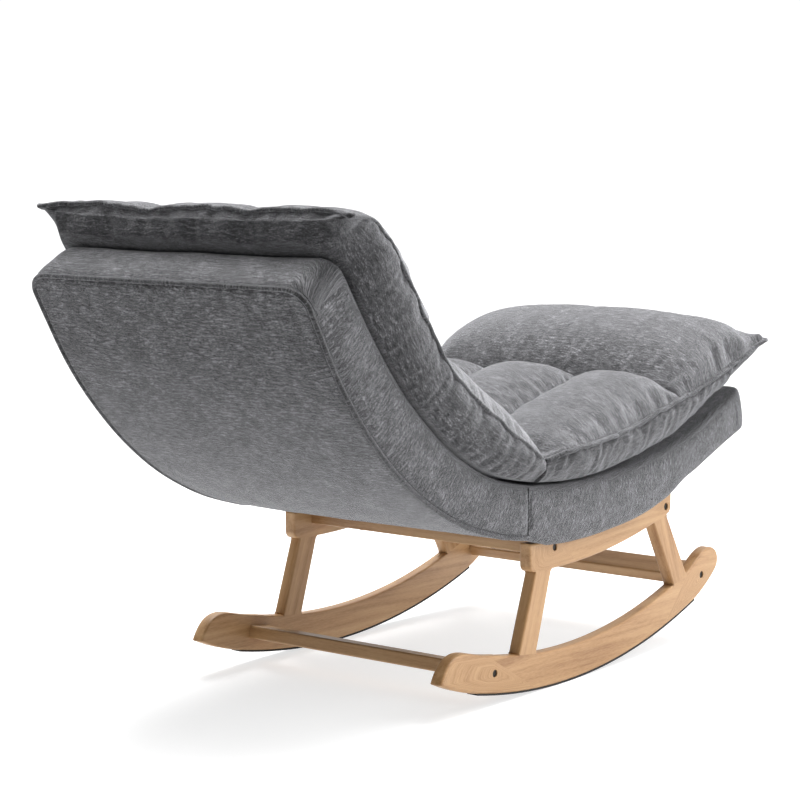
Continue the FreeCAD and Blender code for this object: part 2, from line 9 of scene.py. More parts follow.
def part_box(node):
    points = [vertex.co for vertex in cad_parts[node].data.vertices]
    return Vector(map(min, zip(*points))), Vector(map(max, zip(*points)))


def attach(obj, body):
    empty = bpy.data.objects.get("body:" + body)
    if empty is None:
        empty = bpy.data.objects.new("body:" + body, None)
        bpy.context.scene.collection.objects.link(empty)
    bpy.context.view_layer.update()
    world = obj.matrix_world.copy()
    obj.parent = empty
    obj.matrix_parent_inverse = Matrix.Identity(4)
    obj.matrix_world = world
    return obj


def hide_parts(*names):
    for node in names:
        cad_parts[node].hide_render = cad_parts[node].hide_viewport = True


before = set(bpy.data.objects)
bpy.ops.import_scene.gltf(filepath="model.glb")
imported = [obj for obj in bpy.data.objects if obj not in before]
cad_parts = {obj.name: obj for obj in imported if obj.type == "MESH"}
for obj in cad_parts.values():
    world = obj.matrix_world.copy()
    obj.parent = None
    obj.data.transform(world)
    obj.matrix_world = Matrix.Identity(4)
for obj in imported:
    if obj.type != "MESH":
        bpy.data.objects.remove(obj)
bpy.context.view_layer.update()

# Looks of the rocking chair: beech base, upholstered scoop seat and two loose cushions.
# Metres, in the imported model's own frame: +Z up, the chair faces -Y, +X is its left.

# ---------------------------------------------------------------- sizes

SCOOP_HALF_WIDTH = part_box("outer_cover")[1].x
SCOOP_EDGE_ROUND = 0.010
SCOOP_HEAD_CORNER = 0.038
SCOOP_NOSE_CORNER = 0.03
PIPING_RADIUS = 0.0046
PIPING_SINK = 0.0026
SIDE_SEAM_Y = 0.153
UNDER_SEAM_Y = 0.262
# Radius of the dark cords laid in the seams and ditches as painted shade.
SEAM_SHADE_RADIUS = 0.0012
TIMBER_EASE = 0.0035
RAIL_FACE_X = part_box("side_rail_left")[1].x

# The scoop's side outline, from the head down to the nose: (Y, Z).
SCOOP_OUTER = [
    (0.745, 0.742), (0.706, 0.672), (0.657, 0.590), (0.600, 0.517), (0.526, 0.443), (0.440, 0.379),
    (0.340, 0.328), (0.240, 0.296), (0.149, 0.276), (0.050, 0.265), (-0.060, 0.265), (-0.170, 0.273),
    (-0.280, 0.293), (-0.382, 0.325), (-0.490, 0.362), (-0.606, 0.399),
]
SCOOP_INNER = [
    (0.660, 0.786), (0.618, 0.724), (0.571, 0.657), (0.510, 0.582), (0.449, 0.522), (0.370, 0.459),
    (0.283, 0.411), (0.200, 0.385), (0.110, 0.369), (0.010, 0.362), (-0.090, 0.363), (-0.190, 0.370),
    (-0.290, 0.385), (-0.380, 0.407), (-0.470, 0.438), (-0.582, 0.480),
]

# The loose cushions' seams and undersides, seen from the side: (Y, Z).
BACK_HALF_WIDTH = 0.317
BACK_SEAM = [
    (0.655, 0.856), (0.608, 0.844), (0.573, 0.821), (0.545, 0.791), (0.520, 0.757), (0.496, 0.721),
    (0.467, 0.679), (0.433, 0.634), (0.407, 0.601), (0.373, 0.571), (0.333, 0.542), (0.300, 0.519),
    (0.251, 0.490), (0.201, 0.460), (0.158, 0.432), (0.108, 0.406),
]
BACK_REAR = [
    (0.672, 0.842), (0.662, 0.806), (0.650, 0.778), (0.614, 0.726), (0.567, 0.660), (0.506, 0.585),
    (0.446, 0.526), (0.368, 0.463), (0.281, 0.416), (0.199, 0.390), (0.142, 0.379),
]
SEAT_HALF_WIDTH = 0.311
SEAT_BREAK = 0.575
SEAT_SEAM = [
    (0.096, 0.411), (0.060, 0.420), (0.000, 0.425), (-0.063, 0.431), (-0.135, 0.440), (-0.200, 0.451),
    (-0.267, 0.467), (-0.327, 0.480), (-0.388, 0.492), (-0.451, 0.509), (-0.514, 0.527), (-0.570, 0.543),
    (-0.632, 0.563),
]
SEAT_UNDER = [
    (0.130, 0.376), (0.082, 0.371), (0.028, 0.367), (-0.030, 0.367), (-0.082, 0.369), (-0.139, 0.376),
    (-0.197, 0.385), (-0.256, 0.396), (-0.329, 0.412), (-0.391, 0.436), (-0.450, 0.462), (-0.530, 0.498),
    (-0.592, 0.530), (-0.624, 0.552),
]
# The back cushion ends on one side of this line and the seat cushion on the other.
PARTING = [(0.080, 0.520), (0.101, 0.408), (0.138, 0.370)]
CUSHION_PIPING = 0.0045
NEAR = 0.05
DECK_GAP = 0.0035
PARTING_GAP = 0.0025

# How high the pads stand over their seams, and how wide the cushions are underneath.
BACK_CROWN = 0.056
PAD_CROWN = 0.064
BOLSTER_CROWN = 0.087
BACK_UNDER_HALF_WIDTH = 0.300
SEAT_UNDER_HALF_WIDTH = 0.292
CUSHION_COLUMNS = 94
COLUMN_PITCH = 0.0068

SIM_FRAMES = 16
SIM_MASS = 0.01
SIM_STIFF = 8.0
SIM_BEND = 0.02
SIM_GROWTH = 0.06
SIM_PRESSURE = 5.0
SIM_REACH = 0.020


# ---------------------------------------------------------------- curves and meshes


def along(points, stations):
    """A smooth curve through the points, read at station numbers that may fall between them."""
    p = np.array(points, float)
    slopes = np.gradient(p, axis=0)
    at = np.clip(np.asarray(stations, float), 0, len(p) - 1)
    i = np.clip(at.astype(int), 0, len(p) - 2)
    s = (at - i)[:, None]
    near = (2 * s**3 - 3 * s**2 + 1) * p[i] + (s**3 - 2 * s**2 + s) * slopes[i]
    far = (3 * s**2 - 2 * s**3) * p[i + 1] + (s**3 - s**2) * slopes[i + 1]
    return near + far


def bell(distance, width):
    """1 at no distance, and fading smoothly to 0 beyond the width."""
    return np.exp(-((distance / width) ** 2))


def run_lengths(points):
    steps = np.linalg.norm(np.diff(points, axis=0), axis=1)
    return np.concatenate([[0], np.cumsum(steps)])


def even_stations(points, shares):
    """Station numbers at the given shares, 0 to 1, of the curve's length."""
    fine = np.linspace(0, len(points) - 1, 60 * len(points))
    lengths = run_lengths(along(points, fine))
    return np.interp(np.asarray(shares) * lengths[-1], lengths, fine)


def smooth_line(points, count):
    """Evenly spaced points on a smooth curve through the given ones."""
    return along(points, even_stations(points, np.linspace(0, 1, count)))


def ripple(points, scale, depth, seed):
    """A soft random offset for each point."""
    shift = Vector((seed * 7.31, seed * 3.17, seed * 1.73))
    return np.array([noise.noise(Vector(p) * scale + shift) * depth for p in points])


def make_mesh(name, vertices, faces, weave=None):
    """A mesh object; weave gives each vertex its place on the cloth in metres."""
    mesh = bpy.data.meshes.new(name)
    mesh.from_pydata([tuple(v) for v in vertices], [], faces)
    mesh.update()
    if weave is not None:
        layer = mesh.uv_layers.new(name="weave")
        corners = np.zeros(len(mesh.loops), int)
        mesh.loops.foreach_get("vertex_index", corners)
        layer.data.foreach_set("uv", np.asarray(weave, np.float32)[corners].ravel())
    obj = bpy.data.objects.new(name, mesh)
    bpy.context.scene.collection.objects.link(obj)
    mesh.shade_smooth()
    return obj


def grid_faces(rows, columns, first=0, wrap=False, flip=False):
    """Quads of a grid of vertices numbered row by row."""
    faces = []
    across = columns if wrap else columns - 1
    for i in range(rows - 1):
        for j in range(across):
            a = first + i * columns + j
            b = first + i * columns + (j + 1) % columns
            quad = (a, b, b + columns, a + columns)
            faces.append(quad[::-1] if flip else quad)
    return faces


def weld(obj, distance=0.0002):
    """Join vertices that coincide, and turn all faces outwards."""
    work = bmesh.new()
    work.from_mesh(obj.data)
    bmesh.ops.remove_doubles(work, verts=work.verts, dist=distance)
    bmesh.ops.recalc_face_normals(work, faces=work.faces)
    work.to_mesh(obj.data)
    work.free()
    obj.data.shade_smooth()
    return obj


def tube(name, path, radius, sides=12):
    """A round cord along a path of 3-D points."""
    path = np.asarray(path, float)
    heading = np.gradient(path, axis=0)
    heading /= np.linalg.norm(heading, axis=1)[:, None]
    lengths = run_lengths(path)
    side = np.cross(heading[0], (0.3, 0.5, 0.81))
    rings = []
    weave = []
    turns = np.linspace(0, 2 * math.pi, sides, endpoint=False)
    for point, ahead, length in zip(path, heading, lengths):
        side = side - ahead * np.dot(side, ahead)
        side /= np.linalg.norm(side)
        up = np.cross(ahead, side)
        for turn in turns:
            rings.append(point + radius * (math.cos(turn) * side + math.sin(turn) * up))
            weave.append((radius * turn, length))
    faces = grid_faces(len(path), sides, wrap=True)
    faces.append(tuple(range(sides)))
    faces.append(tuple(reversed(range(len(rings) - sides, len(rings)))))
    return weld(make_mesh(name, rings, faces, weave))


# ---------------------------------------------------------------- materials


class Nodes:
    """Short names for building a node tree."""

    def __init__(self, name):
        self.material = bpy.data.materials.new(name)
        self.material.use_nodes = True
        self.tree = self.material.node_tree
        self.shader = self.tree.nodes["Principled BSDF"]

    def add(self, kind, **values):
        node = self.tree.nodes.new(kind)
        for key, value in values.items():
            setattr(node, key, value)
        return node

    def link(self, output, socket):
        self.tree.links.new(output, socket)

    def scaled(self, vector, scale):
        mapping = self.add("ShaderNodeMapping")
        mapping.inputs["Scale"].default_value = scale
        self.link(vector, mapping.inputs["Vector"])
        return mapping.outputs["Vector"]

    def noise(self, vector, scale, detail=3.0, roughness=0.55):
        texture = self.add("ShaderNodeTexNoise")
        texture.inputs["Scale"].default_value = 1.0
        texture.inputs["Detail"].default_value = detail
        texture.inputs["Roughness"].default_value = roughness
        self.link(self.scaled(vector, scale), texture.inputs["Vector"])
        return texture.outputs["Fac"]

    def math(self, operation, a, b):
        node = self.add("ShaderNodeMath", operation=operation)
        for socket, value in zip(node.inputs, (a, b)):
            if isinstance(value, (int, float)):
                socket.default_value = value
            else:
                self.link(value, socket)
        return node.outputs[0]

    def ramp(self, factor, stops):
        node = self.add("ShaderNodeValToRGB")
        elements = node.color_ramp.elements
        while len(elements) < len(stops):
            elements.new(0.5)
        for element, (place, colour) in zip(elements, stops):
            element.position = place
            element.color = (*colour, 1)
        self.link(factor, node.inputs["Fac"])
        return node.outputs["Color"]

    def bump(self, height, strength, distance):
        node = self.add("ShaderNodeBump")
        node.inputs["Strength"].default_value = strength
        node.inputs["Distance"].default_value = distance
        self.link(height, node.inputs["Height"])
        self.link(node.outputs["Normal"], self.shader.inputs["Normal"])

    def set(self, **values):
        for key, value in values.items():
            self.shader.inputs[key.replace("_", " ")].default_value = value


# The second argument scales every colour of the fabric: below 1 it paints shade, above 1 it paints light.
def chenille(name, painted_light_level=1.0, calm=1.0):
    """Grey chenille: short slubs across the weft, a fine pile, and soft crushed patches."""
    n = Nodes(name)
    weave = n.add("ShaderNodeUVMap", uv_map="weave").outputs["UV"]
    thread_and_seam_shade = n.noise(weave, (230, 900, 1), 3.0, 0.65)
    slub = n.noise(weave, (60, 240, 1), 4.0, 0.66)
    pile = n.noise(weave, (900, 1500, 1), 1.0, 0.5)
    patch = n.noise(weave, (22, 26, 1), 4.0, 0.62)
    mix = n.math("ADD", n.math("MULTIPLY", slub, 0.36), n.math("MULTIPLY", thread_and_seam_shade, 0.36))
    mix = n.math("ADD", mix, n.math("MULTIPLY", patch, 0.14))
    mix = n.math("ADD", mix, n.math("MULTIPLY", pile, 0.14))
    colours = [(0.425, 0.012), (0.475, 0.036), (0.525, 0.086), (0.58, 0.29)]
    stops = [
        (0.5 + (place - 0.5) * calm, (tone * painted_light_level, tone * painted_light_level * 0.995, tone * painted_light_level * 1.05))
        for place, tone in colours
    ]
    n.link(n.ramp(mix, stops), n.shader.inputs["Base Color"])
    rough = n.add("ShaderNodeMapRange")
    rough.inputs["To Min"].default_value = 0.70
    rough.inputs["To Max"].default_value = 0.96
    n.link(patch, rough.inputs["Value"])
    n.link(rough.outputs["Result"], n.shader.inputs["Roughness"])
    n.set(Sheen_Weight=0.7, Sheen_Roughness=0.33, Sheen_Tint=(0.95, 0.96, 1.0, 1.0), Specular_IOR_Level=0.2)
    height = n.math("ADD", n.math("MULTIPLY", slub, 0.6), n.math("MULTIPLY", thread_and_seam_shade, 0.6))
    height = n.math("ADD", height, n.math("MULTIPLY", pile, 0.25))
    n.bump(height, 0.9, 0.0030)
    return n.material


def beech(name, attribute=None):
    """Satin beech: long grain, short dark flecks, slightly darker towards the pores."""
    n = Nodes(name)
    if attribute:
        grain = n.add("ShaderNodeAttribute", attribute_name=attribute).outputs["Vector"]
    else:
        grain = n.add("ShaderNodeTexCoord").outputs["Object"]
    bands = n.noise(grain, (3.5, 70, 70), 5.0, 0.6)
    flecks = n.noise(grain, (90, 900, 900), 2.0, 0.5)
    broad = n.noise(grain, (1.5, 14, 14), 2.0, 0.5)
    mix = n.math("ADD", n.math("MULTIPLY", bands, 0.55), n.math("MULTIPLY", flecks, 0.2))
    mix = n.math("ADD", mix, n.math("MULTIPLY", broad, 0.25))
    stops = [(0.36, (0.27, 0.130, 0.046)), (0.50, (0.42, 0.240, 0.108)), (0.64, (0.51, 0.318, 0.160))]
    colour = n.ramp(mix, stops)
    n.link(colour, n.shader.inputs["Base Color"])
    rough = n.add("ShaderNodeMapRange")
    rough.inputs["To Min"].default_value = 0.36
    rough.inputs["To Max"].default_value = 0.52
    n.link(bands, rough.inputs["Value"])
    n.link(rough.outputs["Result"], n.shader.inputs["Roughness"])
    n.set(Specular_IOR_Level=0.4, Coat_Weight=0.12, Coat_Roughness=0.3)
    n.bump(mix, 0.12, 0.0006)
    return n.material


def rubber():
    n = Nodes("sole_rubber")
    place = n.add("ShaderNodeTexCoord").outputs["Object"]
    grit = n.noise(place, (900, 900, 900), 2.0)
    stops = [(0.3, (0.012, 0.012, 0.013)), (0.7, (0.035, 0.034, 0.034))]
    n.link(n.ramp(grit, stops), n.shader.inputs["Base Color"])
    n.set(Roughness=0.85)
    n.bump(grit, 0.4, 0.0006)
    return n.material


def steel(name, colour, roughness):
    """Turned metal with faint machining lines."""
    n = Nodes(name)
    place = n.add("ShaderNodeTexCoord").outputs["Object"]
    lines = n.noise(place, (2500, 300, 300), 2.0)
    darker = tuple(0.6 * c for c in colour)
    n.link(n.ramp(lines, [(0.3, darker), (0.7, colour)]), n.shader.inputs["Base Color"])
    n.set(Metallic=1.0, Roughness=roughness)
    n.bump(lines, 0.1, 0.0002)
    return n.material


def plain_cloth(name, dark, light, scale):
    """Webbing, wadding and other inner cloth with a simple weave."""
    n = Nodes(name)
    place = n.add("ShaderNodeTexCoord").outputs["Object"]
    weave = n.noise(place, scale, 3.0)
    n.link(n.ramp(weave, [(0.3, dark), (0.7, light)]), n.shader.inputs["Base Color"])
    n.set(Roughness=0.9, Sheen_Weight=0.2)
    n.bump(weave, 0.5, 0.001)
    return n.material


def paint(obj, material):
    obj.data.materials.clear()
    obj.data.materials.append(material)
    return obj


FABRIC = chenille("chenille")
# The cushions' chenille is the scoop's fabric made 8% lighter, with a calmer weave: painted light on the
# cushions.
LIT_CUSHION_FABRIC = chenille("chenille_cushion_painted_light", 1.08, 1.5)
# The welt chenille is the same fabric darkened to 0.72: painted shade along every piping cord.
SHADED_PIPING_FABRIC = chenille("chenille_piping_painted_shade", 0.72)
# A much darker chenille for the cords in the seams and ditches: painted shade in the grooves.
SEAM_SHADE_FABRIC = chenille("chenille_painted_seam_shade", 0.35)
BEECH = beech("beech", "grain")
BEECH_ACROSS = beech("beech_across")
RUBBER = rubber()
DARK_STEEL = steel("dark_steel", (0.05, 0.045, 0.04), 0.42)
ZINC = steel("zinc", (0.55, 0.55, 0.57), 0.35)
STRAP = plain_cloth("webbing", (0.02, 0.02, 0.02), (0.06, 0.06, 0.06), (400, 1200, 400))


# ---------------------------------------------------------------- scoop seat


def drawn_in(points, depth):
    """A side outline moved into the scoop by this depth."""
    heading = np.gradient(points, axis=0)
    heading /= np.linalg.norm(heading, axis=1)[:, None]
    return points + depth * np.stack([heading[:, 1], -heading[:, 0]], axis=1)


def scoop_loop(head_in, nose_in, inset, counts):
    """The scoop's closed side outline: outer edge, nose, inner edge, head; and its weave lengths."""
    edge_count, cap_count = counts
    shares = np.linspace(0, 1, edge_count)
    length = run_lengths(smooth_line(SCOOP_OUTER, 400))[-1]
    shares = (head_in + inset + shares * (length - head_in - nose_in - 2 * inset)) / length
    stations = even_stations(SCOOP_OUTER, shares)
    outer = drawn_in(along(SCOOP_OUTER, stations), inset)
    inner = drawn_in(along(SCOOP_INNER, stations), -inset)
    between = np.linspace(0, 1, cap_count + 2)[1:-1, None]
    swell = 0.006 * (1 - (2 * between - 1) ** 4)
    nose_out = outer[-1] - outer[-2]
    head_out = outer[0] - outer[1]
    nose = outer[-1] + between * (inner[-1] - outer[-1]) + swell * nose_out / np.linalg.norm(nose_out)
    head = inner[0] + between * (outer[0] - inner[0]) + swell * head_out / np.linalg.norm(head_out)
    loop = np.concatenate([outer, nose, inner[::-1], head])
    for _ in range(3):
        softer = (np.roll(loop, 1, axis=0) + 2 * loop + np.roll(loop, -1, axis=0)) / 4
        corner = np.zeros(len(loop))
        marks = (0, edge_count - 1, edge_count + cap_count, 2 * edge_count + cap_count - 1)
        for mark in marks:
            for near in range(-3, 4):
                corner[(mark + near) % len(loop)] = 1
        loop = np.where(corner[:, None] > 0, softer, loop)
    lengths = run_lengths(np.vstack([loop, loop[:1]]))[:-1]
    return loop, lengths


def corner_draw(x, radius):
    """How far an edge draws back near the side, where the corner is rounded."""
    into = abs(x) - (SCOOP_HALF_WIDTH - radius)
    if into <= 0:
        return 0.0
    return radius - math.sqrt(max(radius**2 - into**2, 0))


def scoop_stations():
    """X stations from the middle to the side, with the last few going round the soft edge."""
    bend_start = SCOOP_HALF_WIDTH - SCOOP_HEAD_CORNER
    flat = list(np.linspace(0, bend_start, 20))
    bend = list(np.linspace(bend_start, SCOOP_HALF_WIDTH - SCOOP_EDGE_ROUND, 10))[1:]
    half = [(x, 0.0) for x in flat + bend]
    for angle in (25, 50, 70, 90):
        turn = math.radians(angle)
        x = SCOOP_HALF_WIDTH - SCOOP_EDGE_ROUND * (1 - math.sin(turn))
        half.append((x, SCOOP_EDGE_ROUND * (1 - math.cos(turn))))
    return [(-x, inset) for x, inset in half[:0:-1]] + half


def soften_scoop(points):
    """Crown of the back panel, droop beside the rails, the cross seam and a little unevenness."""
    x, y, z = points.T
    side = np.abs(x) / SCOOP_HALF_WIDTH
    lows = np.interp(y, *np.array(SCOOP_OUTER[::-1]).T)
    outer_face = np.clip(1 - (z - lows) / 0.02, 0, 1)
    rail_low, rail_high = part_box("side_rail_left")
    over_rail = np.clip((y - rail_low.y + 0.02) / 0.05, 0, 1) * np.clip((rail_high.y + 0.02 - y) / 0.05, 0, 1)
    beyond = np.clip((np.abs(x) - RAIL_FACE_X) / 0.010, 0, 1)
    droop = 0.008 * outer_face * over_rail * beyond
    crown = 0.004 * (1 - side**4) * np.clip((y - 0.12) / 0.2, 0, 1) * outer_face
    uneven = ripple(points, 7.0, 0.0040, 3) + ripple(points, 24.0, 0.0014, 4)
    below_head = np.hypot(y - SCOOP_OUTER[0][0], z - SCOOP_OUTER[0][1])
    gathers = np.column_stack([x, np.full(len(x), 3.3), below_head * 0.35])
    uneven = uneven + outer_face * np.exp(-below_head / 0.08) * ripple(gathers, 34.0, 0.0050, 12)
    tuck = 0.0025 * bell(y - UNDER_SEAM_Y, 0.007) * outer_face
    z = z - droop - crown * 0.6 + uneven * 0.6 + tuck
    y = y + crown * 0.8 + uneven * 0.5
    return np.stack([x, y, z], axis=1)


def scoop_cover():
    """One upholstered shell: fabric round the back, nose, deck and head, and a band at each side."""
    edge_count, cap_count = 320, 13
    vertices = []
    weave = []
    stations = scoop_stations()
    for x, inset in stations:
        head_in = corner_draw(x, SCOOP_HEAD_CORNER)
        nose_in = corner_draw(x, SCOOP_NOSE_CORNER)
        loop, lengths = scoop_loop(head_in, nose_in, inset, (edge_count, cap_count))
        for (y, z), length in zip(loop, lengths):
            vertices.append((x, y, z))
            weave.append((x, length + head_in + inset))
    size = 2 * edge_count + 2 * cap_count
    faces = grid_faces(len(stations), size, wrap=True)
    for side, row in ((-1, 0), (1, len(stations) - 1)):
        ring = vertices[row * size : (row + 1) * size]
        first = len(vertices)
        for i in range(edge_count):
            low = np.array(ring[i])
            high = np.array(ring[2 * edge_count + cap_count - 1 - i])
            from_end = min(min(i, edge_count - 1 - i) / 14, 1.0)
            swell = 0.004 * from_end * from_end * (3 - 2 * from_end)
            for j in range(cap_count + 2):
                share = j / (cap_count + 1)
                point = low + share * (high - low)
                groove = math.exp(-(((point[1] - SIDE_SEAM_Y) / 0.005) ** 2))
                point[0] += side * swell * (1 - groove) * (1 - (2 * share - 1) ** 4)
                if i == 0 and 0 < j < cap_count + 1:
                    point = np.array(ring[size - j])
                if i == edge_count - 1 and 0 < j < cap_count + 1:
                    point = np.array(ring[edge_count - 1 + j])
                vertices.append(tuple(point))
                weave.append((side + share * 0.1, weave[row * size + i][1]))
        faces += grid_faces(edge_count, cap_count + 2, first, flip=side > 0)
    points = soften_scoop(np.array(vertices))
    cover = weld(make_mesh("scoop_cover", points, faces, weave))
    paint(cover, FABRIC)
    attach(cover, "chair")
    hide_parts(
        "outer_cover", "deck_cover", "side_cover_left", "side_cover_right",
        "side_wadding_left", "side_wadding_right", "back_wadding", "deck_foam",
        "side_panel_left", "side_panel_right", "back_board",
    )
    return cover


def edge_cord(name, side_in, sink, radius, material):
    """A cord round the back panel's edge: up both sides, round the corners and across the head."""
    reach = SCOOP_HALF_WIDTH - side_in
    fine = smooth_line(SCOOP_OUTER, 800)
    lengths = run_lengths(fine)
    heading = np.gradient(fine, axis=0)
    heading /= np.linalg.norm(heading, axis=1)[:, None]
    inward = np.stack([heading[:, 1], -heading[:, 0]], axis=1)
    last = lengths[np.argmin(np.abs(fine[:, 0] - SIDE_SEAM_Y))]
    half = [(reach, distance) for distance in np.linspace(last, SCOOP_HEAD_CORNER, 110)]
    for turn in np.linspace(0, math.pi / 2, 10)[1:]:
        x = reach - SCOOP_HEAD_CORNER * (1 - math.cos(turn))
        half.append((x, SCOOP_HEAD_CORNER * (1 - math.sin(turn))))
    for x in np.linspace(reach - SCOOP_HEAD_CORNER, 0, 24)[1:]:
        half.append((x, 0.0))
    across = np.array(half + [(-x, distance) for x, distance in half[-2::-1]])
    path = np.zeros((len(across), 3))
    path[:, 0] = across[:, 0]
    run = across[:, 1] + side_in * np.clip(1 - across[:, 1] / SCOOP_HEAD_CORNER, 0, 1)
    fading = 0.006 * np.clip(1 - (last - across[:, 1]) / 0.07, 0, 1)
    for axis in (0, 1):
        place = np.interp(run, lengths, fine[:, axis])
        path[:, 1 + axis] = place + (sink + fading) * np.interp(run, lengths, inward[:, axis])
    cord = tube(name, path, radius, sides=10)
    paint(cord, material)
    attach(cord, "chair")
    return cord


def scoop_piping():
    """The welt, with a dark cord in the stitched ditch on each side of it; the welt's darker chenille and
    both cords are painted shade.
    """
    cord = edge_cord("scoop_piping", PIPING_SINK, PIPING_SINK, PIPING_RADIUS, SHADED_PIPING_FABRIC)
    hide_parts("welt_left", "welt_right")
    edge_cord("scoop_ditch_shade_panel", 0.0075, 0.0006, SEAM_SHADE_RADIUS, SEAM_SHADE_FABRIC)
    edge_cord("scoop_ditch_shade_band", 0.0006, 0.0075, SEAM_SHADE_RADIUS, SEAM_SHADE_FABRIC)


def scoop_seams():
    """The sewn seams up each side band and across under the back, as thin sunk dark cords: painted shade in
    the seam grooves.
    """
    outer = smooth_line(SCOOP_OUTER, 900)
    inner = smooth_line(SCOOP_INNER, 900)
    low = outer[np.argmin(np.abs(outer[:, 0] - SIDE_SEAM_Y))][1]
    high = inner[np.argmin(np.abs(inner[:, 0] - SIDE_SEAM_Y))][1]
    paths = []
    for side in (-1, 1):
        reach = side * (SCOOP_HALF_WIDTH + 0.0006)
        rise = np.linspace(low + 0.004, high - 0.004, 24)
        paths.append([(reach, SIDE_SEAM_Y, z) for z in rise])
    across = outer[np.argmin(np.abs(outer[:, 0] - UNDER_SEAM_Y))]
    reach = SCOOP_HALF_WIDTH - 0.020
    under = np.array([(x, across[0], across[1]) for x in np.linspace(-reach, reach, 60)])
    paths.append(soften_scoop(under) + (0, 0, 0.0004))
    for number, path in enumerate(paths):
        # Each seam is a dark cord: painted shade along its groove.
        thread_and_seam_shade = tube(f"scoop_seam_{number}", path, SEAM_SHADE_RADIUS, sides=8)
        paint(thread_and_seam_shade, SEAM_SHADE_FABRIC)
        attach(thread_and_seam_shade, "chair")


# ---------------------------------------------------------------- cushions


def pillow(share, power):
    """0 at both ends and 1 in the middle, steep at the ends."""
    return np.clip(4 * share * (1 - share), 0, 1) ** power


def height_over(points, line):
    """Signed distance in the (Y, Z) plane from a line that runs head to front, and its normals."""
    line = np.asarray(line)
    best = np.full(len(points), 1e9)
    signed = np.zeros(len(points))
    normals = np.zeros((len(points), 2))
    for a, b in zip(line[:-1], line[1:]):
        span = b - a
        share = np.clip(((points[:, 1:] - a) @ span) / (span @ span), 0, 1)
        gap = points[:, 1:] - (a + share[:, None] * span)
        far = np.linalg.norm(gap, axis=1)
        normal = np.array([span[1], -span[0]]) / np.linalg.norm(span)
        side = np.sign(gap @ normal)
        nearer = far < best
        best = np.where(nearer, far, best)
        signed = np.where(nearer, far * side, signed)
        normals = np.where(nearer[:, None], normal, normals)
    return signed, normals


def deck_line():
    """The scoop's inner outline, carried on past both ends."""
    line = smooth_line(SCOOP_INNER, 60)
    return np.vstack([line[0] + 4 * (line[0] - line[1]), line, line[-1] + 4 * (line[-1] - line[-2])])


def held_off(points, line, clearance):
    """The points, with any that are nearer the line than the clearance moved out to it."""
    signed, normals = height_over(points, line)
    short = np.where(signed > -NEAR, np.clip(clearance - signed, 0, None), 0)
    moved = points.copy()
    moved[:, 1:] += normals * short[:, None]
    return moved


def edge_ends(mesh):
    """The two vertex numbers of every edge."""
    ends = np.zeros(len(mesh.edges) * 2, int)
    mesh.edges.foreach_get("vertices", ends)
    return ends.reshape(-1, 2).T


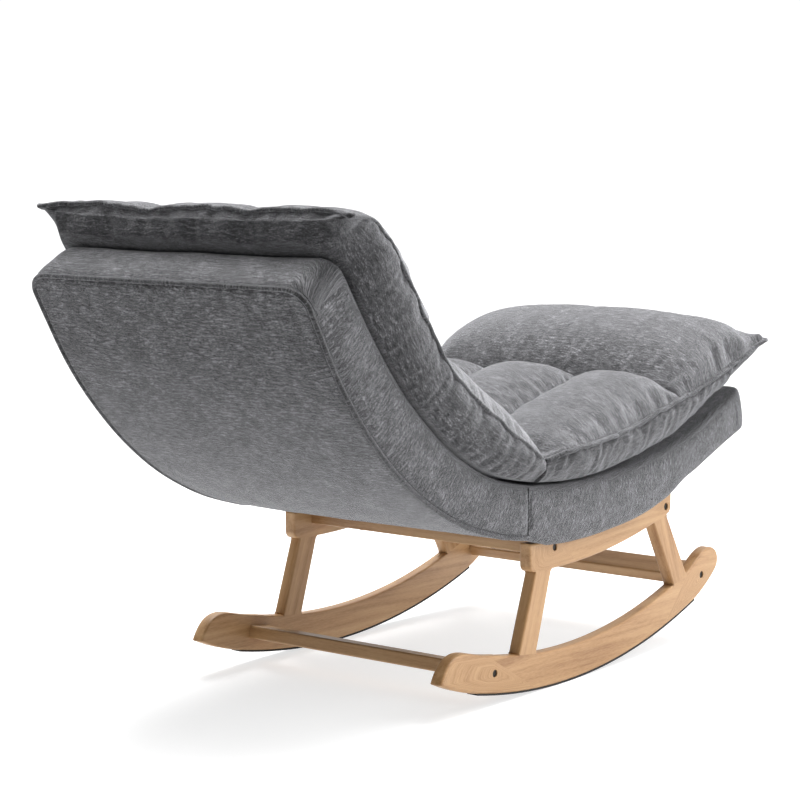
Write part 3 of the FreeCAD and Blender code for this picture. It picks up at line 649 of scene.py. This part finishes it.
def sewn(name, panel, under, strip_rows, side_bulge, channels, resting):
    """A boxed cushion: a top panel, an under panel and strips between them, all seams shared.

    Returns the mesh object and the numbers of the vertices that the seams, channels and deck hold.
    """
    rows, columns, _ = panel.shape
    share = np.linspace(0, 1, strip_rows)[None, :, None]
    points = []
    weave = []
    faces = []
    held = []
    sewn_down = []
    along_run = run_lengths(panel[:, columns // 2])

    def put(grid, cloth, pinned, flip):
        first = sum(len(part) for part in points)
        points.append(grid.reshape(-1, 3))
        weave.append(cloth.reshape(-1, 2))
        held.append(pinned.ravel())
        sewn_down.append(channels.ravel() if grid is panel else np.zeros(pinned.size, bool))
        faces.extend(grid_faces(grid.shape[0], grid.shape[1], first, flip=flip))

    cloth = np.stack([panel[:, :, 0], np.repeat(along_run[:, None], columns, axis=1)], axis=2)
    border = np.zeros((rows, columns), bool)
    border[0] = border[-1] = border[:, 0] = border[:, -1] = True
    put(panel, cloth, border | channels, False)
    put(under, cloth + 3, resting, True)
    for edge in (0, -1):
        top = panel[:, edge][:, None]
        low = under[:, edge][:, None]
        strip = top + share * (low - top)
        strip[:, :, 0] += np.sign(top[0, 0, 0]) * side_bulge * (4 * share[:, :, 0] * (1 - share[:, :, 0]))
        gathers = np.column_stack([along_run, np.full(rows, 2.0 + edge), np.zeros(rows)])
        fade = np.exp(-share[:, :, 0] / 0.45) * (share[:, :, 0] > 0) * (share[:, :, 0] < 1)
        strip[:, :, 0] += ripple(gathers, 62.0, 0.0048, 11)[:, None] * fade
        length = np.linalg.norm(low - top, axis=2).mean()
        width = np.repeat(share[0, :, 0][None] * length, rows, axis=0)
        cloth = np.stack([np.repeat(along_run[:, None], strip_rows, axis=1) + 5 + edge, width], axis=2)
        put(strip, cloth, np.zeros((rows, strip_rows), bool), edge == 0)
    for edge in (0, -1):
        top = panel[edge][:, None]
        low = under[edge][:, None]
        strip = top + share * (low - top)
        bulge = side_bulge * (4 * share[:, :, 0] * (1 - share[:, :, 0]))
        for side in (0, -1):
            strip[side, :, 0] += np.sign(top[side, 0, 0]) * bulge[0]
        length = np.linalg.norm(low - top, axis=2).mean()
        width = np.repeat(share[0, :, 0][None] * length, columns, axis=0)
        cloth = np.stack([np.repeat(top[:, :, 0], strip_rows, axis=1) + 7 + edge, width], axis=2)
        put(strip, cloth, np.zeros((columns, strip_rows), bool), edge == -1)
    points = np.concatenate(points)
    weave = np.concatenate(weave)
    held = np.concatenate(held)
    _, first_of, shared = np.unique(
        np.round(points / 0.00005).astype(int), axis=0, return_index=True, return_inverse=True
    )
    shared = shared.ravel()
    joined = points[first_of]
    pinned = np.zeros(len(joined), bool)
    np.logical_or.at(pinned, shared, held)
    creased = np.zeros(len(joined), bool)
    np.logical_or.at(creased, shared, np.concatenate(sewn_down))
    obj = make_mesh(name, joined, [tuple(shared[list(face)]) for face in faces])
    layer = obj.data.uv_layers.new(name="weave")
    layer.data.foreach_set("uv", weave[np.array(faces).ravel()].astype(np.float32).ravel())
    work = bmesh.new()
    work.from_mesh(obj.data)
    bmesh.ops.recalc_face_normals(work, faces=work.faces)
    work.to_mesh(obj.data)
    work.free()
    obj.data.shade_smooth()
    a, b = edge_ends(obj.data)
    crease = obj.data.attributes.new("crease_edge", "FLOAT", "EDGE")
    crease.data.foreach_set("value", (creased[a] & creased[b]).astype(np.float32))
    return obj, pinned


def places(mesh):
    found = np.zeros(len(mesh.vertices) * 3)
    mesh.vertices.foreach_get("co", found)
    return found.reshape(-1, 3)


def calmed(mesh, move, pinned, lively):
    """The movement, with fine wrinkles kept near the seams and softened out in the middle of a pad."""
    a, b = edge_ends(mesh)
    count = np.bincount(np.concatenate([a, b]), minlength=len(move))[:, None]

    def spread(values):
        total = np.zeros_like(values)
        np.add.at(total, a, values[b])
        np.add.at(total, b, values[a])
        return total / count

    nearness = pinned.astype(float)[:, None]
    soft = move
    for _ in range(14):
        nearness = np.maximum(nearness * 0.999, spread(nearness))
        soft = 0.4 * soft + 0.6 * spread(soft)
    nearness = np.clip(nearness * 1.6, lively, 1)
    return nearness * move + (1 - nearness) * soft


def inflate(obj, pinned, lively):
    """Cloth simulation: the seams hold, the cover is a little too big, and the filling pushes it out."""
    scene = bpy.context.scene
    start = places(obj.data)
    group = obj.vertex_groups.new(name="held")
    group.add([int(i) for i in np.nonzero(pinned)[0]], 1.0, "REPLACE")
    modifier = obj.modifiers.new("cloth", "CLOTH")
    cloth = modifier.settings
    cloth.vertex_group_mass = "held"
    cloth.quality = 5
    cloth.mass = SIM_MASS
    cloth.tension_stiffness = SIM_STIFF
    cloth.compression_stiffness = SIM_STIFF
    cloth.shear_stiffness = SIM_STIFF * 0.4
    cloth.bending_stiffness = SIM_BEND
    cloth.tension_damping = 2
    cloth.compression_damping = 2
    cloth.shear_damping = 2
    cloth.air_damping = 2
    cloth.use_pressure = True
    cloth.uniform_pressure_force = SIM_PRESSURE
    cloth.shrink_min = -SIM_GROWTH
    cloth.shrink_max = -SIM_GROWTH
    cloth.effector_weights.gravity = 0
    modifier.collision_settings.use_collision = False
    modifier.collision_settings.use_self_collision = False
    modifier.point_cache.frame_start = 1
    modifier.point_cache.frame_end = SIM_FRAMES
    for number in range(1, SIM_FRAMES + 1):
        scene.frame_set(number)
    shown = obj.evaluated_get(bpy.context.evaluated_depsgraph_get())
    settled = places(shown.to_mesh())
    shown.to_mesh_clear()
    obj.modifiers.clear()
    obj.vertex_groups.clear()
    scene.frame_set(1)
    move = calmed(obj.data, settled - start, pinned, lively)
    far = np.linalg.norm(move, axis=1)
    limited = SIM_REACH * np.tanh(far / SIM_REACH)
    move *= (limited / np.maximum(far, 1e-9))[:, None]
    obj.data.vertices.foreach_set("co", (start + move).ravel())
    obj.data.update()


def finer(obj):
    """One level of smooth subdivision, applied."""
    modifier = obj.modifiers.new("finer", "SUBSURF")
    modifier.levels = 1
    shown = obj.evaluated_get(bpy.context.evaluated_depsgraph_get())
    mesh = bpy.data.meshes.new_from_object(shown)
    obj.modifiers.clear()
    obj.data = mesh
    mesh.shade_smooth()


def finish_cushion(obj, cord_paths, body, nodes):
    # The lighter cushion chenille is painted light.
    paint(obj, LIT_CUSHION_FABRIC)
    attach(obj, body)
    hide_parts(*nodes)
    for number, path in enumerate(cord_paths):
        cord = tube(f"{obj.name}_piping_{number}", path, CUSHION_PIPING, sides=10)
        # The darker piping chenille is painted shade.
        paint(cord, SHADED_PIPING_FABRIC)
        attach(cord, body)


def seam_ripple(length, seed):
    """Small gathers along a sewn seam, in metres, for each distance along it."""
    line = np.column_stack([length, np.full(len(length), seed * 1.7), np.zeros(len(length))])
    return ripple(line, 38.0, 0.0030, seed) + ripple(line, 14.0, 0.0030, seed + 5)


def puckers(shape, rows_at, columns_at, last_row, seed):
    """Small puckers that run out from the sewn channels, as heights over the panel.

    The channels between the pads stop at the last row; a channel across the panel has no such limit.
    """
    row = np.arange(shape[0])[:, None] + np.zeros(shape)
    column = np.arange(shape[1])[None, :] + np.zeros(shape)
    height = np.zeros(shape)
    channels = [(place, row, column) for place in rows_at]
    channels += [(place, column, row) for place in columns_at]
    for place, off, run in channels:
        lane = np.full(row.size, seed + place * 0.37)
        line = np.column_stack([run.ravel() * COLUMN_PITCH, lane, off.ravel() * 0.002])
        pucker = ripple(line, 60.0, 0.0055, seed).reshape(shape)
        reach = np.exp(-np.abs(off - place) / 6) * (off != place)
        height += pucker * reach * ((off is row) | (row <= last_row))
    return height


def loop_path(panel):
    """The seam round a panel's edge, closed, as one path."""
    ring = [panel[0, :], panel[1:, -1], panel[-1, -2::-1], panel[-2:0:-1, 0]]
    path = np.concatenate(ring)
    return np.concatenate([path, path[:2]])


def back_cushion():
    """Three columns and two rows of pads, sewn to deep boxing that lies in the scoop."""
    columns, rows, strip_rows = CUSHION_COLUMNS, 141, 15
    u = np.linspace(0, 1, columns)[None, :]
    v = np.linspace(0, 1, rows)[:, None]
    seam = along(BACK_SEAM, even_stations(BACK_SEAM, v.ravel()))
    rear = along(BACK_REAR, even_stations(BACK_REAR, v.ravel()))
    heading = np.gradient(seam, axis=0)
    heading /= np.linalg.norm(heading, axis=1)[:, None]
    out = np.stack([heading[:, 1], -heading[:, 0]], axis=1)
    run = run_lengths(seam)
    half = BACK_HALF_WIDTH + 0.018 * bell(run, 0.025) - 0.018 * bell(run[-1] - run, 0.03)
    half = half + seam_ripple(run, 1) * 0.6
    across = 2 * u - 1
    crown = BACK_CROWN * (
        0.45 * pillow(u, 0.50) * pillow(v, 0.5)
        + 0.55 * pillow((u * 3) % 1.0, 0.42) * pillow(np.where(v < 0.5, v * 2, v * 2 - 1), 0.42)
    )
    lip = np.clip(run[:, None] / 0.20, 0, 1)
    crown = crown * (0.16 + 0.84 * lip * lip * (3 - 2 * lip))
    thirds = [columns // 3, 2 * columns // 3]
    crown = crown + puckers((rows, columns), [rows // 2], thirds, rows, 31)
    panel = np.zeros((rows, columns, 3))
    panel[:, :, 0] = across * half[:, None]
    panel[:, :, 1] = seam[:, :1] + crown * out[:, :1]
    panel[:, :, 2] = seam[:, 1:] + crown * out[:, 1:]
    ear = bell(1 - np.abs(across), 0.09) * bell(run[:, None], 0.035)
    panel[:, :, 1] += ear * 0.022
    panel[:, :, 2] -= ear * 0.004
    dip = bell(np.abs(across) - 1 / 3, 0.10) * bell(run[:, None], 0.05)
    panel[:, :, 2] -= dip * 0.006
    edge = np.zeros((rows, columns))
    edge[:, 0] = seam_ripple(run, 2)
    edge[:, -1] = seam_ripple(run, 3)
    edge[0] = seam_ripple(panel[0, :, 0], 4)
    panel[:, :, 1] += edge * out[:, :1]
    panel[:, :, 2] += edge * out[:, 1:]
    under = np.zeros((rows, columns, 3))
    under[:, :, 0] = across * BACK_UNDER_HALF_WIDTH
    under[:, :, 1] = rear[:, :1]
    under[:, :, 2] = rear[:, 1:]
    channels = np.zeros((rows, columns), bool)
    channels[rows // 2, :] = True
    channels[:, thirds] = True
    resting = np.zeros((rows, columns), bool)
    resting[run > 0.14, :] = True
    resting[-1, :] = True
    obj, pinned = sewn("back_cushion", panel, under, strip_rows, 0.012, channels, resting)
    inflate(obj, pinned, 0.3)
    points = held_off(places(obj.data), deck_line(), DECK_GAP)
    points = held_off(points, PARTING[::-1], PARTING_GAP)
    obj.data.vertices.foreach_set("co", points.ravel())
    finer(obj)
    finish_cushion(obj, [loop_path(panel)], "back_cushion", cushion_nodes("back_cushion"))


def seat_cushion():
    """Three pads side by side and a full-width bolster in front of them, on one boxed underside."""
    columns, strip_rows = CUSHION_COLUMNS, 13
    pads, bolster = 69, 56
    rows = pads + bolster - 1
    u = np.linspace(0, 1, columns)[None, :]
    seam_share = np.concatenate([np.linspace(0, SEAT_BREAK, pads), np.linspace(SEAT_BREAK, 1, bolster)[1:]])
    seam = along(SEAT_SEAM, even_stations(SEAT_SEAM, seam_share))
    low = along(SEAT_UNDER, even_stations(SEAT_UNDER, seam_share))
    row = np.arange(rows)[:, None]
    pad_share = np.clip(row / (pads - 1), 0, 1)
    bolster_share = np.clip((row - pads + 1) / (bolster - 1), 0, 1)
    run = run_lengths(seam)
    half = SEAT_HALF_WIDTH + 0.009 * bell(run[-1] - run, 0.03) - 0.012 * bell(run, 0.03)
    half = half + seam_ripple(run, 6) * 0.6
    across = 2 * u - 1
    pad_crown = PAD_CROWN * (
        0.40 * pillow(u, 0.45) * pillow(pad_share**1.8, 0.5)
        + 0.60 * pillow((u * 3) % 1.0, 0.40) * pillow(pad_share**1.8, 0.42)
    )
    roll_across = pillow(u, 0.31)
    roll_along = pillow(bolster_share**0.85, 0.54)
    both = roll_across * roll_along
    either = both / np.maximum(roll_across + roll_along - both, 1e-6)
    bolster_crown = BOLSTER_CROWN * (both + (either - both) * bolster_share)
    crease = 0.012 * pillow(u, 0.5) * bell(row - pads + 1, 6)
    crown = np.maximum(pad_crown + bolster_crown, crease)
    thirds = [columns // 3, 2 * columns // 3]
    crown = crown + puckers((rows, columns), [pads - 1], thirds, pads - 1, 21)
    panel = np.zeros((rows, columns, 3))
    panel[:, :, 0] = across * half[:, None]
    panel[:, :, 1] = seam[:, :1] + 0.10 * crown * (bolster_share > 0)
    panel[:, :, 2] = seam[:, 1:] + crown
    edge = np.zeros((rows, columns))
    edge[:, 0] = seam_ripple(run, 7)
    edge[:, -1] = seam_ripple(run, 8)
    edge[-1] = seam_ripple(panel[-1, :, 0], 9)
    panel[:, :, 2] += edge
    ear = bell(1 - np.abs(across), 0.10) * bell(run[-1] - run[:, None], 0.05)
    panel[:, :, 2] += ear * 0.003
    under = np.zeros((rows, columns, 3))
    under[:, :, 0] = across * SEAT_UNDER_HALF_WIDTH
    under[:, :, 1] = low[:, :1]
    under[:, :, 2] = low[:, 1:]
    channels = np.zeros((rows, columns), bool)
    channels[pads - 1, :] = True
    channels[:pads, thirds] = True
    resting = np.ones((rows, columns), bool)
    resting[-24:] = False
    obj, pinned = sewn("seat_cushion", panel, under, strip_rows, 0.010, channels, resting)
    inflate(obj, pinned, 0.4)
    points = held_off(places(obj.data), deck_line(), DECK_GAP)
    points = held_off(points, PARTING, PARTING_GAP)
    obj.data.vertices.foreach_set("co", points.ravel())
    finer(obj)
    finish_cushion(
        obj, [loop_path(panel)], "seat_cushion", cushion_nodes("seat_cushion") + cushion_nodes("bolster")
    )


def cushion_nodes(name):
    return [f"{name}_{part}" for part in ("filling", "boxing", "under_cover", "top_cover")]


# ---------------------------------------------------------------- timber


def face_outline(node):
    """The outer boundary of a flat-sided CAD node, in order, as (Y, Z) points."""
    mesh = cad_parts[node].data
    work = bmesh.new()
    work.from_mesh(mesh)
    bmesh.ops.remove_doubles(work, verts=work.verts, dist=0.00001)
    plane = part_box(node)[1].x if node.endswith("left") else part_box(node)[0].x
    neighbours = {}
    for edge in work.edges:
        ends = edge.verts
        if any(abs(v.co.x - plane) > 0.00001 for v in ends):
            continue
        on_plane = [f for f in edge.link_faces if all(abs(v.co.x - plane) < 0.00001 for v in f.verts)]
        if len(on_plane) == 1:
            neighbours.setdefault(ends[0].index, []).append(ends[1].index)
            neighbours.setdefault(ends[1].index, []).append(ends[0].index)
    places = {v.index: (v.co.y, v.co.z) for v in work.verts}
    work.free()
    loops = []
    unused = set(neighbours)
    while unused:
        current = min(unused)
        loop = []
        while current in unused:
            unused.discard(current)
            loop.append(places[current])
            ahead = [i for i in neighbours[current] if i in unused]
            if not ahead:
                break
            current = ahead[0]
        loops.append(np.array(loop))
    outline = max(loops, key=lambda points: np.ptp(points[:, 0]))
    area = np.sum(outline[:, 0] * np.roll(outline[:, 1], -1) - np.roll(outline[:, 0], -1) * outline[:, 1])
    return outline if area > 0 else outline[::-1]


def even_outline(outline, step):
    """The outline with long sides divided, so that the eased edge can change along them."""
    points = []
    for a, b in zip(outline, np.roll(outline, -1, axis=0)):
        count = max(1, int(math.ceil(np.linalg.norm(b - a) / step)))
        points += [a + (b - a) * k / count for k in range(count)]
    return np.array(points)


def inside(point, outline):
    """True if the point lies inside the closed outline."""
    y, z = point
    a = outline
    b = np.roll(outline, -1, axis=0)
    crossing = (a[:, 1] > z) != (b[:, 1] > z)
    rise = np.where(b[:, 1] == a[:, 1], 1e-12, b[:, 1] - a[:, 1])
    at = (b[:, 0] - a[:, 0]) * (z - a[:, 1]) / rise + a[:, 0]
    return bool(np.sum(crossing & (y < at)) % 2)


def eased_member(node, neighbours, grain_heading):
    """A side-frame member with routed edges, except where a neighbour butts against it."""
    outline = even_outline(face_outline(node), 0.004)
    low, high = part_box(node)
    ahead = np.roll(outline, -1, axis=0) - outline
    ahead /= np.maximum(np.linalg.norm(ahead, axis=1), 1e-9)[:, None]
    inward_next = np.stack([-ahead[:, 1], ahead[:, 0]], axis=1)
    inward_last = np.roll(inward_next, 1, axis=0)
    mitre = inward_next + inward_last
    mitre /= np.maximum(np.linalg.norm(mitre, axis=1), 1e-6)[:, None]
    mitre /= np.maximum(np.sum(mitre * inward_next, axis=1), 0.5)[:, None]
    others = [face_outline(other) for other in neighbours]
    free = []
    for point, out in zip(outline, mitre):
        probe = point - out * 0.0008
        free.append(0.0 if any(inside(probe, other) for other in others) else 1.0)
    free = np.array(free)
    rings = []
    for face_x, direction in ((low.x, 1), (high.x, -1)):
        turns = np.radians([90, 67, 45, 22, 0])
        for turn in turns if direction > 0 else turns[::-1]:
            inset = TIMBER_EASE * (1 - math.cos(turn))
            depth = TIMBER_EASE * (1 - math.sin(turn))
            ring = outline + mitre * (inset * free)[:, None]
            rings.append(np.column_stack([face_x + direction * depth * free, ring]))
    vertices = np.concatenate(rings)
    count = len(outline)
    faces = grid_faces(len(rings), count, wrap=True)
    faces.append(tuple(range(count)))
    faces.append(tuple(reversed(range(len(vertices) - count, len(vertices)))))
    piece = make_mesh("eased_" + node, vertices, faces)
    heading = np.array([0, *grain_heading]) / np.linalg.norm(grain_heading)
    across = np.cross(heading, (1, 0, 0))
    offset = ripple([(low.x, low.y, low.z)], 3.0, 5.0, 9)[0]
    grain = np.column_stack([vertices @ heading + offset, vertices @ across, vertices[:, 0] + offset])
    layer = piece.data.attributes.new("grain", "FLOAT_VECTOR", "POINT")
    layer.data.foreach_set("vector", grain.astype(np.float32).ravel())
    for polygon in piece.data.polygons[-2:]:
        polygon.use_smooth = False
    weld(piece, 0.00002)
    for polygon in piece.data.polygons:
        polygon.use_smooth = len(polygon.vertices) < 8
    return piece


def bolt_centres():
    """Where each counterbore is, from the bolts' own heads: (X sign, Y, Z)."""
    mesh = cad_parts["frame_bolts"].data
    points = np.array([v.co for v in mesh.vertices])
    heads = points[np.abs(points[:, 0]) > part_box("frame_bolts")[1].x - 0.0002]
    centres = []
    for x, y, z in heads:
        near = [c for c in centres if c[0] == np.sign(x) and math.dist(c[1:3], (y, z)) < 0.02]
        if not near:
            centres.append([np.sign(x), y, z, [(y, z)]])
        else:
            near[0][3].append((y, z))
    return [(sign, *(np.min(group, axis=0) + np.max(group, axis=0)) / 2) for sign, _, _, group in centres]


def drill(piece, holes):
    """Counterbores cut into a member."""
    cutters = bmesh.new()
    for sign, y, z in holes:
        made = bmesh.ops.create_cone(
            cutters, cap_ends=True, segments=40, radius1=0.007, radius2=0.007, depth=0.018
        )
        turn = Vector((0, 0, 1)).rotation_difference(Vector((1, 0, 0))).to_matrix()
        bmesh.ops.rotate(cutters, verts=made["verts"], cent=(0, 0, 0), matrix=turn)
        bmesh.ops.translate(cutters, verts=made["verts"], vec=(sign * RAIL_FACE_X, y, z))
    mesh = bpy.data.meshes.new("cutters")
    cutters.to_mesh(mesh)
    cutters.free()
    tool = bpy.data.objects.new("cutters", mesh)
    bpy.context.scene.collection.objects.link(tool)
    modifier = piece.modifiers.new("bores", "BOOLEAN")
    modifier.object = tool
    modifier.solver = "EXACT"
    result = bpy.data.meshes.new_from_object(piece.evaluated_get(bpy.context.evaluated_depsgraph_get()))
    piece.modifiers.clear()
    piece.data = result
    bpy.data.objects.remove(tool)


def side_frames():
    centres = bolt_centres()
    for word, sign in (("left", 1), ("right", -1)):
        names = [f"{part}_{word}" for part in ("rocker", "rear_leg", "front_leg", "side_rail")]
        headings = ((1, 0.02), (0.35, -1), (0.4, 1), (1, -0.05))
        for name, heading in zip(names, headings):
            piece = eased_member(name, [other for other in names if other != name], heading)
            low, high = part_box(name)
            holes = [
                c for c in centres if c[0] == sign and low.y < c[1] < high.y and low.z < c[2] < high.z
            ]
            if holes and ("rocker" in name or "rail" in name):
                drill(piece, holes)
            paint(piece, BEECH)
            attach(piece, "chair")
            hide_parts(name)


def finish_cad_nodes():
    """Materials for the CAD nodes that stay."""
    finishes = {
        "sole_strip": RUBBER,
        "frame_bolts": DARK_STEEL,
        "shell_bolts": DARK_STEEL,
        "barrel_nuts": ZINC,
        "tee_nuts": ZINC,
        "webbing": STRAP,
        "stretcher": BEECH_ACROSS,
        "rail": BEECH_ACROSS,
        "dowels": BEECH_ACROSS,
    }
    for name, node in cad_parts.items():
        for key, material in finishes.items():
            if key in name:
                paint(node, material)
                break


# ---------------------------------------------------------------- stage


def stage():
    floor = make_mesh("floor", [(-30, -30, 0), (30, -30, 0), (30, 30, 0), (-30, 30, 0)], [(0, 1, 2, 3)])
    n = Nodes("floor")
    n.set(Base_Color=(0.42, 0.42, 0.42, 1), Roughness=0.9, Emission_Color=(1, 1, 1, 1))
    parts = n.add("ShaderNodeSeparateXYZ")
    n.link(n.add("ShaderNodeTexCoord").outputs["Object"], parts.inputs["Vector"])
    glow = n.add("ShaderNodeMapRange")
    glow.inputs["From Min"].default_value = -0.9
    glow.inputs["From Max"].default_value = -3.5
    glow.inputs["To Min"].default_value = 0.68
    glow.inputs["To Max"].default_value = 0.90
    n.link(parts.outputs["Y"], glow.inputs["Value"])
    n.link(glow.outputs["Result"], n.shader.inputs["Emission Strength"])
    paint(floor, n.material)
    world = bpy.data.worlds.new("studio")
    bpy.context.scene.world = world
    world.use_nodes = True
    tree = world.node_tree
    heading = tree.nodes.new("ShaderNodeTexCoord")
    parts = tree.nodes.new("ShaderNodeSeparateXYZ")
    level = tree.nodes.new("ShaderNodeMapRange")
    level.inputs["From Min"].default_value = -0.45
    level.inputs["From Max"].default_value = 0.55
    level.inputs["To Min"].default_value = 1.04
    level.inputs["To Max"].default_value = 0.06
    tree.links.new(heading.outputs["Generated"], parts.inputs["Vector"])
    tree.links.new(parts.outputs["Y"], level.inputs["Value"])
    background = tree.nodes["Background"]
    background.inputs["Color"].default_value = (1, 1, 1, 1)
    tree.links.new(level.outputs["Result"], background.inputs["Strength"])
    bpy.context.scene.view_settings.view_transform = "Standard"


def soft_light(name, place, aim, power, width):
    data = bpy.data.lights.new(name, "AREA")
    data.energy = power
    data.size = width
    light = bpy.data.objects.new(name, data)
    light.location = place
    light.rotation_mode = "QUATERNION"
    light.rotation_quaternion = (Vector(aim) - Vector(place)).to_track_quat("-Z", "Y")
    bpy.context.scene.collection.objects.link(light)


def lights():
    soft_light("key", (-2.6, -1.7, 2.7), (0, 0, 0.4), 80, 3.0)
    soft_light("top", (0.3, -0.7, 3.3), (0, -0.2, 0.4), 370, 3.0)


def camera():
    heading = math.radians(142.16)
    drop = math.radians(6.81)
    data = bpy.data.cameras.new("camera")
    data.lens = 104.0
    data.sensor_width = 36.0
    data.clip_end = 100
    cam = bpy.data.objects.new("camera", data)
    cam.location = (-2.517, 3.366, 0.987)
    ahead = Vector((math.sin(heading) * math.cos(drop), math.cos(heading) * math.cos(drop), -math.sin(drop)))
    cam.rotation_mode = "QUATERNION"
    cam.rotation_quaternion = ahead.to_track_quat("-Z", "Y")
    bpy.context.scene.collection.objects.link(cam)
    bpy.context.scene.camera = cam


# ---------------------------------------------------------------- the chair

camera()
lights()
stage()
side_frames()
finish_cad_nodes()
scoop_cover()
scoop_piping()
scoop_seams()
back_cushion()
seat_cushion()
